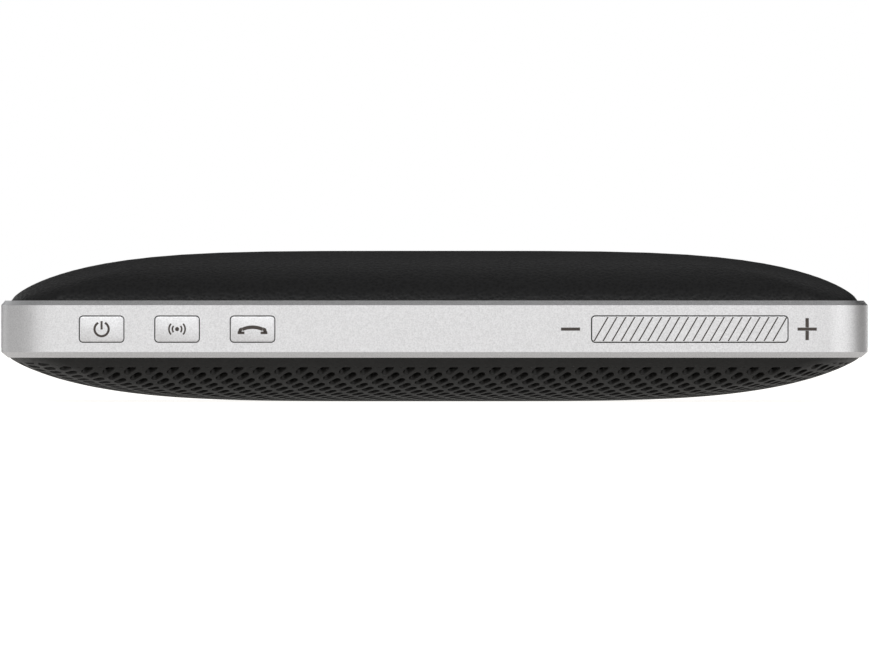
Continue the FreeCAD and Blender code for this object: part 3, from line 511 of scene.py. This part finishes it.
def make_leather():
    rim = crown_rings(BACK, (1.0,), 12, 40)[0]
    hole = pocket_outline()
    in_hole = inside_polygon(hole)
    extra = np.concatenate(crown_rings(BACK, CROWN_LEVELS, 12, 40))
    extra = extra[~inside_polygon(pocket_outline(0.15 * MM))(extra[:, 0], extra[:, 1])]

    def keep(x, y):
        return ~in_hole(x, y) & (BACK.level(x, y) < 1.0001)

    made = plate([rim, hole], extra, keep, BACK, LEATHER_EDGE)
    plate_piece("leather_cover", made, "case", "black_leather", LOOKS["black_leather"], ("back_leather",))


def make_stand():
    sink = BACK.inset(0.05 * MM)
    half = leaf_high.x
    far = leaf_high.y
    plan = [(-half, HINGE_Y), (half, HINGE_Y)]
    plan += arc_points(half - LEAF_CORNER, far - LEAF_CORNER, LEAF_CORNER, 0, 90)
    plan += arc_points(LEAF_CORNER - half, far - LEAF_CORNER, LEAF_CORNER, 90, 180)
    in_plan = inside_polygon(plan)
    grid = np.array([(x, y) for x in np.linspace(-half, half, 24) for y in np.linspace(HINGE_Y, far, 18)])
    inner = inside_polygon([(x * 0.985, HINGE_Y + 0.2 * MM + (y - HINGE_Y) * 0.985) for x, y in plan])
    grid = grid[inner(grid[:, 0], grid[:, 1])]
    # A short wall that carries the rolled edge, then straight down to the underside.
    edge = ((0.0, 0.12 * MM), (0.0, 1.2 * MM))
    made = plate([plan], grid, in_plan, sink, edge)
    plate_piece("stand_plate", made, "stand", "stand_metal", LOOKS["stand_metal"], ("stand_leaf",))
    make_knuckle(half)


def make_knuckle(half):
    """The rolled barrel at the stand's root, bored for its pin, with a web up to the plate."""
    outer, bore, steps = KNUCKLE_RADIUS, KNUCKLE_BORE, 32
    vertices, faces = [], []
    for x in (-half, half):
        for radius in (outer, bore):
            for k in range(steps):
                a = 2 * math.pi * k / steps
                vertices.append((x, HINGE_Y + radius * math.cos(a), HINGE_Z + radius * math.sin(a)))
    for k in range(steps):
        n = (k + 1) % steps
        a, b, c, d = 0, steps, 2 * steps, 3 * steps
        faces.append((a + k, a + n, c + n, c + k))
        faces.append((b + n, b + k, d + k, d + n))
        faces.append((a + n, a + k, b + k, b + n))
        faces.append((c + k, c + n, d + n, d + k))
    piece = new_piece("stand_knuckle", vertices, faces, "stand", "stand_metal", LOOKS["stand_metal"])
    smooth(piece)
    web_low, web_high = HINGE_Z + 0.7 * MM, BACK.base + BACK.rise - 0.7 * MM
    web = box_faces((-half, HINGE_Y - 0.1 * MM, web_low), (half, HINGE_Y + 0.9 * MM, web_high))
    new_piece("stand_web", *web, "stand", "stand_metal", LOOKS["stand_metal"])


def box_faces(low, high):
    vertices = [(x, y, z) for x in (low[0], high[0]) for y in (low[1], high[1]) for z in (low[2], high[2])]
    faces = [(0, 1, 3, 2), (4, 6, 7, 5), (0, 4, 5, 1), (2, 3, 7, 6), (0, 2, 6, 4), (1, 5, 7, 3)]
    return vertices, faces


# ---------------------------------------------------------------- perforated grille

SLOT_LONG, SLOT_WIDE = 2.5 * MM, 1.2 * MM
SLOT_PITCH, ROW_PITCH, ROW_SHIFT = 3.46 * MM, 1.5 * MM, 0.93 * MM
SLOT_LEAN = math.radians(-45)
GRILLE_BORDER = 1.45 * MM
GRILLE_EDGE = (
    (0.05 * MM, 0.02 * MM),
    (0.09 * MM, 0.09 * MM),
    (0.10 * MM, 0.25 * MM),
    (0.10 * MM, 0.9 * MM),
)
SLOT_ARC = 6


def slot_centres():
    """Lattice of slot centres that can touch the perforated field."""
    rows = int(FRONT.half_w / ROW_PITCH) + 2
    centres = []
    for row in range(-rows, rows + 1):
        start = row * ROW_SHIFT
        columns = int((FRONT.half_l + abs(start)) / SLOT_PITCH) + 2
        centres += [(start + k * SLOT_PITCH, row * ROW_PITCH) for k in range(-columns, columns + 1)]
    return np.array(centres)


def in_slots(x, y):
    """Whether points lie inside any slot, found from the nearest lattice rows."""
    cos_a, sin_a = math.cos(SLOT_LEAN), math.sin(SLOT_LEAN)
    reach = (SLOT_LONG - SLOT_WIDE) / 2
    hit = np.zeros(len(x), bool)
    nearest = np.round(y / ROW_PITCH)
    for step in (-1, 0, 1):
        row = nearest + step
        across = x - row * ROW_SHIFT
        column = np.round(across / SLOT_PITCH)
        for side in (-1, 0, 1):
            dx, dy = across - (column + side) * SLOT_PITCH, y - row * ROW_PITCH
            run = dx * cos_a + dy * sin_a
            off = -dx * sin_a + dy * cos_a
            run -= np.clip(run, -reach, reach)
            hit |= np.hypot(run, off) < SLOT_WIDE / 2 * 0.998
    return hit


def slot_outline(cx, cy):
    reach = (SLOT_LONG - SLOT_WIDE) / 2
    ux, uy = math.cos(SLOT_LEAN), math.sin(SLOT_LEAN)
    lean = math.degrees(SLOT_LEAN)
    points = arc_points(cx + reach * ux, cy + reach * uy, SLOT_WIDE / 2, lean - 90, lean + 90, SLOT_ARC)
    points += arc_points(cx - reach * ux, cy - reach * uy, SLOT_WIDE / 2, lean + 90, lean + 270, SLOT_ARC)
    return points


def make_grille():
    rim = crown_rings(FRONT, (1.0,), 12, 40)[0]
    field_l, field_w = FRONT.half_l - GRILLE_BORDER, FRONT.half_w - GRILLE_BORDER
    field_r = FRONT.radius - GRILLE_BORDER
    in_field = inside_rounded(field_l, field_w, field_r)
    near_field = inside_rounded(field_l + SLOT_LONG / 2, field_w + SLOT_LONG / 2, field_r + SLOT_LONG / 2)
    centres = slot_centres()
    centres = centres[near_field(centres[:, 0], centres[:, 1])]
    deep = inside_rounded(field_l - 1.6 * MM, field_w - 1.6 * MM, field_r - 1.6 * MM)
    loops = [rim, rounded_rectangle(field_l, field_w, field_r, 12, 60)]
    for cx, cy in centres:
        outline = np.array(slot_outline(cx, cy))
        touches = in_field(outline[:, 0], outline[:, 1]).any()
        if touches or deep(np.array([cx]), np.array([cy]))[0]:
            loops.append(outline)
    extra = np.concatenate([crown_rings(FRONT, (t,), 12, 60)[0] for t in (0.992, 0.984, 0.974)])
    clear = inside_rounded(field_l + 0.1 * MM, field_w + 0.1 * MM, field_r)
    extra = extra[~clear(extra[:, 0], extra[:, 1])]

    def keep(x, y):
        return (FRONT.level(x, y) < 1.0001) & ~(in_field(x, y) & in_slots(x, y))

    made = plate(loops, extra, keep, FRONT, GRILLE_EDGE)
    plate_piece("grille_shell", made, "case", "black_grille", LOOKS["black_grille"], ("front_grille",))


# ---------------------------------------------------------------- keys and marks

INK_THICK = 0.015 * MM
KEY_EDGE = 0.14 * MM
KEY_FLANGE = 0.8 * MM
KEY_CORNER = 0.55 * MM
MARK_REACH = 19.2 * MM
PLUS_SHIFT = 0.3 * MM


def standing(vertices, x, y, z):
    """Moves plan vertices (u, v, w) onto the key edge: u along X, v up, w towards the viewer."""
    return [(x + u, y - w, z + v) for u, v, w in vertices]


def ribbon(points, width):
    """A closed outline of even width along an open line."""
    line = np.array(points, float)
    step = np.gradient(line, axis=0)
    step /= np.linalg.norm(step, axis=1, keepdims=True)
    side = np.stack([-step[:, 1], step[:, 0]], axis=1) * width / 2
    return np.concatenate([line + side, (line - side)[::-1]])


def mark_mesh(outlines):
    """Thin raised shapes, each from one closed outline, as vertices and faces."""
    vertices, faces = [], []
    for outline in outlines:
        first, count = len(vertices), len(outline)
        vertices += [(u, v, 0.0) for u, v in outline] + [(u, v, INK_THICK) for u, v in outline]
        for k in range(count):
            n = (k + 1) % count
            faces.append((first + k, first + n, first + count + n, first + count + k))
        half = count // 2
        for k in range(half - 1):
            a, b, c, d = k, k + 1, count - 2 - k, count - 1 - k
            faces.append((first + count + a, first + count + b, first + count + c, first + count + d))
    return vertices, faces


def bar(cx, cy, length, height):
    a, b = length / 2, height / 2
    return np.array([(cx - a, cy - b), (cx + a, cy - b), (cx + a, cy + b), (cx - a, cy + b)])


def ring_part(radius, start, end, width, steps=40, cx=0.0, cy=0.0):
    return ribbon(arc_points(cx, cy, radius, start, end, steps), width)


def power_mark():
    gap = 28
    return [ring_part(1.14 * MM, 90 + gap, 450 - gap, 0.36 * MM), bar(0, 0.62 * MM, 0.34 * MM, 1.36 * MM)]


def wireless_mark():
    shapes = [ring_part(0.17 * MM, 0, 359.9, 0.33 * MM, 24)]
    for radius in (0.75 * MM, 1.3 * MM):
        for start in (-42, 138):
            shapes.append(ring_part(radius, start, start + 84, 0.27 * MM, 20))
    return shapes


def handset_mark():
    span, drop, lift = 1.95 * MM, 0.42 * MM, 0.52 * MM
    radius = (span**2 + lift**2) / (2 * lift)
    half = math.degrees(math.asin(span / radius))
    spread = half * 0.82
    grip = ring_part(radius, 90 - spread, 90 + spread, 0.56 * MM, 24, 0.0, lift - radius - drop / 2)
    shapes = [grip]
    for side in (-1, 1):
        line = [
            (side * (span - 0.28 * MM), 0.02 * MM),
            (side * span, -0.1 * MM),
            (side * (span + 0.12 * MM), -0.5 * MM),
        ]
        lobe = ribbon(line if side > 0 else line[::-1], 0.56 * MM)
        cup = bar(side * (span - 0.1 * MM), -0.6 * MM, 1.1 * MM, 0.42 * MM)
        shapes += [lobe, cup]
    return shapes


def make_mark(name, outlines, x, face_y, body):
    vertices, faces = mark_mesh(outlines)
    placed = standing(vertices, x, face_y, MID_Z)
    new_piece(name, placed, faces, body, "black_plastic", INK_AND_GROOVE_SHADE)


def make_key(key, outlines):
    """A key cap with a rolled front edge, standing for the CAD key, and its printed mark."""
    low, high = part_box(f"{key}_key")
    half_l, half_h = (high.x - low.x) / 2 - KEY_FLANGE, (high.z - low.z) / 2
    cx = (low.x + high.x) / 2
    front = low.y + INK_THICK
    profile = [(KEY_EDGE, 0.0)]
    for a in np.radians((30, 60, 90)):
        profile.append((KEY_EDGE * (1 - math.sin(a)), KEY_EDGE * (1 - math.cos(a))))
    profile += [(0.0, high.y - front)]
    vertices, faces = [], []
    for inset, depth in profile:
        ring = rounded_rectangle(half_l - inset, half_h - inset, KEY_CORNER - inset, 8)
        vertices += [(cx + u, front + depth, MID_Z + v) for u, v in ring]
    count = len(vertices) // len(profile)
    for n in range(len(profile) - 1):
        for k in range(count):
            m = (k + 1) % count
            faces.append((n * count + m, n * count + k, (n + 1) * count + k, (n + 1) * count + m))
    faces.append(tuple(range(count)))
    faces.append(tuple(range(len(vertices) - 1, len(vertices) - count - 1, -1)))
    look = LOOKS["satin_aluminium"]
    piece = new_piece(
        f"{key}_cap", vertices, faces, f"{key}_button", "satin_aluminium", look, (f"{key}_key",)
    )
    smooth(piece, 25)
    make_mark(f"{key}_mark", outlines, cx, front, f"{key}_button")


def make_keys():
    make_key("power", power_mark())
    make_key("pairing", wireless_mark())
    make_key("call", handset_mark())
    middle = (rocker_low.x + rocker_high.x) / 2
    make_mark("minus_mark", [bar(0, 0, 3.07 * MM, 0.5 * MM)], middle - MARK_REACH, BAND_FACE, "case")
    plus = [bar(0, 0, 3.1 * MM, 0.5 * MM)]
    plus += [bar(0, side * 1.02 * MM, 0.55 * MM, 1.5 * MM) for side in (1, -1)]
    make_grooves(middle)
    make_mark("plus_mark", plus, middle + MARK_REACH - PLUS_SHIFT, BAND_FACE, "case")


GROOVE_PITCH, GROOVE_WIDE, GROOVE_DEEP = 1.44 * MM, 0.2 * MM, 0.15 * MM
GROOVE_LEAN = math.radians(30)


def make_grooves(middle):
    """Painted shade: dark ink laid in the floor of the rocker's slanted grooves, where the grooves fall
    into shade.
    """
    length, half_h = rocker_high.x - rocker_low.x, (rocker_high.z - rocker_low.z) / 2 - 0.12 * MM
    count = int(length / GROOVE_PITCH)
    run = half_h * math.tan(GROOVE_LEAN)
    half_w = GROOVE_WIDE / math.cos(GROOVE_LEAN) / 2
    outlines = []
    for n in range(count):
        x = (n - (count - 1) / 2) * GROOVE_PITCH + half_w
        foot, head = x - run, x + run
        low = [(foot - half_w, -half_h), (foot + half_w, -half_h)]
        outlines.append(low + [(head + half_w, half_h), (head - half_w, half_h)])
    # These dark sheets at the groove floors are painted shade.
    make_mark("rocker_groove_painted_shade", outlines, middle, KEY_FACE + GROOVE_DEEP, "volume_lever")


# ---------------------------------------------------------------- stage


def emitter(name, colour, strength):
    made = bpy.data.materials.new(name)
    made.use_nodes = True
    tree = made.node_tree
    tree.nodes.clear()
    glow = node(tree, "ShaderNodeEmission", Color=(*colour, 1), Strength=strength)
    out = tree.nodes.new("ShaderNodeOutputMaterial")
    tree.links.new(glow.outputs[0], out.inputs[0])
    return made


def seen_directly(tree):
    """1 for camera, glossy and transmission rays, else 0."""
    path = tree.nodes.new("ShaderNodeLightPath")
    first = node(tree, "ShaderNodeMath", operation="MAXIMUM")
    tree.links.new(path.outputs["Is Camera Ray"], first.inputs[0])
    tree.links.new(path.outputs["Is Glossy Ray"], first.inputs[1])
    second = node(tree, "ShaderNodeMath", operation="MAXIMUM")
    tree.links.new(first.outputs[0], second.inputs[0])
    tree.links.new(path.outputs["Is Transmission Ray"], second.inputs[1])
    return second.outputs[0]


def make_world():
    world = bpy.data.worlds.new("studio")
    bpy.context.scene.world = world
    world.use_nodes = True
    tree = world.node_tree
    tree.nodes.clear()
    dim = node(tree, "ShaderNodeBackground", Color=(1, 1, 1, 1), Strength=0.45)
    white = node(tree, "ShaderNodeBackground", Color=(1, 1, 1, 1), Strength=1.0)
    mix = tree.nodes.new("ShaderNodeMixShader")
    out = tree.nodes.new("ShaderNodeOutputWorld")
    tree.links.new(seen_directly(tree), mix.inputs[0])
    tree.links.new(dim.outputs[0], mix.inputs[1])
    tree.links.new(white.outputs[0], mix.inputs[2])
    tree.links.new(mix.outputs[0], out.inputs[0])


def stage_sheet(name, centre, half_u, half_v, normal, material, camera=False):
    u = Vector(normal).orthogonal().normalized()
    v = Vector(normal).cross(u).normalized()
    centre = Vector(centre)
    corners = [centre + u * half_u * a + v * half_v * b for a, b in ((-1, -1), (1, -1), (1, 1), (-1, 1))]
    mesh = bpy.data.meshes.new(name)
    mesh.from_pydata([tuple(c) for c in corners], [], [(0, 1, 2, 3)])
    made = bpy.data.objects.new(name, mesh)
    bpy.context.scene.collection.objects.link(made)
    mesh.materials.append(material)
    made.visible_camera = camera
    return made


FLOOR_SHEEN = 0.36


def floor_look():
    """Pale paint that reads as white to the camera away from the object and is clear from below."""
    made = bpy.data.materials.new("floor")
    made.use_nodes = True
    tree = made.node_tree
    tree.nodes.clear()
    paint = node(tree, "ShaderNodeBsdfDiffuse", Color=(0.82, 0.80, 0.78, 1))
    glow = node(tree, "ShaderNodeEmission", Color=(1, 0.985, 0.96, 1))
    coords = tree.nodes.new("ShaderNodeTexCoord")
    reach = node(tree, "ShaderNodeVectorMath", operation="LENGTH")
    tree.links.new(coords.outputs["Object"], reach.inputs[0])
    away = tree.nodes.new("ShaderNodeMapRange")
    for key, value in (("From Min", 0.15), ("From Max", 0.6), ("To Min", 0.85), ("To Max", 1.0)):
        away.inputs[key].default_value = value
    tree.links.new(reach.outputs["Value"], away.inputs["Value"])
    path = tree.nodes.new("ShaderNodeLightPath")
    seen = node(tree, "ShaderNodeMath", operation="MULTIPLY")
    tree.links.new(path.outputs["Is Camera Ray"], seen.inputs[0])
    tree.links.new(away.outputs["Result"], seen.inputs[1])
    level = node(tree, "ShaderNodeMath", operation="MULTIPLY_ADD")
    tree.links.new(path.outputs["Is Glossy Ray"], level.inputs[0])
    level.inputs[1].default_value = FLOOR_SHEEN
    tree.links.new(seen.outputs[0], level.inputs[2])
    tree.links.new(level.outputs[0], glow.inputs["Strength"])
    both = tree.nodes.new("ShaderNodeAddShader")
    tree.links.new(paint.outputs[0], both.inputs[0])
    tree.links.new(glow.outputs[0], both.inputs[1])
    clear = tree.nodes.new("ShaderNodeBsdfTransparent")
    side = tree.nodes.new("ShaderNodeNewGeometry")
    mix = tree.nodes.new("ShaderNodeMixShader")
    tree.links.new(side.outputs["Backfacing"], mix.inputs[0])
    tree.links.new(both.outputs[0], mix.inputs[1])
    tree.links.new(clear.outputs[0], mix.inputs[2])
    out = tree.nodes.new("ShaderNodeOutputMaterial")
    tree.links.new(mix.outputs[0], out.inputs[0])
    return made


def area_light(name, place, target, size, watts, height=None):
    data = bpy.data.lights.new(name, "AREA")
    data.shape = "RECTANGLE"
    data.size, data.size_y = size, height or size
    data.energy = watts
    made = bpy.data.objects.new(name, data)
    made.location = place
    made.rotation_mode = "QUATERNION"
    made.rotation_quaternion = (Vector(target) - Vector(place)).to_track_quat("-Z", "Y")
    bpy.context.scene.collection.objects.link(made)


def make_stage():
    make_world()
    white = (1, 1, 1)
    stage_sheet("floor", (0, 0, cad_low.z), 8.0, 8.0, (0, 0, 1), floor_look(), camera=True)
    stage_sheet("ceiling_card", (0, 0.9, 1.2), 2.0, 1.5, (0, 0, -1), emitter("ceiling_grey", white, 0.26))
    stage_sheet("back_card", (0, 2.0, 0.6), 2.0, 0.62, (0, -1, 0), emitter("back_grey", white, 0.03))
    stage_sheet("left_card", (-1.0, 0.5, 0.6), 1.5, 0.62, (1, 0, 0), emitter("left_grey", white, 0.42))
    stage_sheet("right_card", (1.0, 1.0, 0.6), 1.0, 0.62, (-1, 0, 0), emitter("right_grey", white, 0.02))
    area_light("key_light", (-0.4, -1.3, 0.95), (0, 0, 0.01), 1.3, 6.5, 0.7)
    area_light("fill_light", (0.95, -0.5, 0.35), (0.03, 0, 0.01), 0.8, 1.6, 0.5)
    area_light("low_light", (0.1, -1.3, 0.12), (0, 0, 0.0), 1.2, 0.3, 0.2)


# ---------------------------------------------------------------- camera

CAMERA_DISTANCE = 4.5
FRAME_WIDTH = 140.2 * MM
CASE_FRONT_SHARE = 0.76


def make_camera():
    data = bpy.data.cameras.new("camera")
    camera = bpy.data.objects.new("camera", data)
    bpy.context.scene.collection.objects.link(camera)
    data.sensor_width = 36.0
    widest_y = -HALF_W * CASE_FRONT_SHARE
    data.lens = data.sensor_width * CAMERA_DISTANCE / FRAME_WIDTH
    camera.location = (0, widest_y - CAMERA_DISTANCE, (cad_low.z + cad_high.z) / 2)
    camera.rotation_euler = (math.radians(90), 0, 0)
    data.clip_start, data.clip_end = 0.05, 100
    bpy.context.scene.camera = camera


dress_cad_nodes()
make_leather()
make_stand()
make_grille()
make_keys()
make_stage()
make_camera()

view = bpy.context.scene.view_settings
view.view_transform = "Standard"
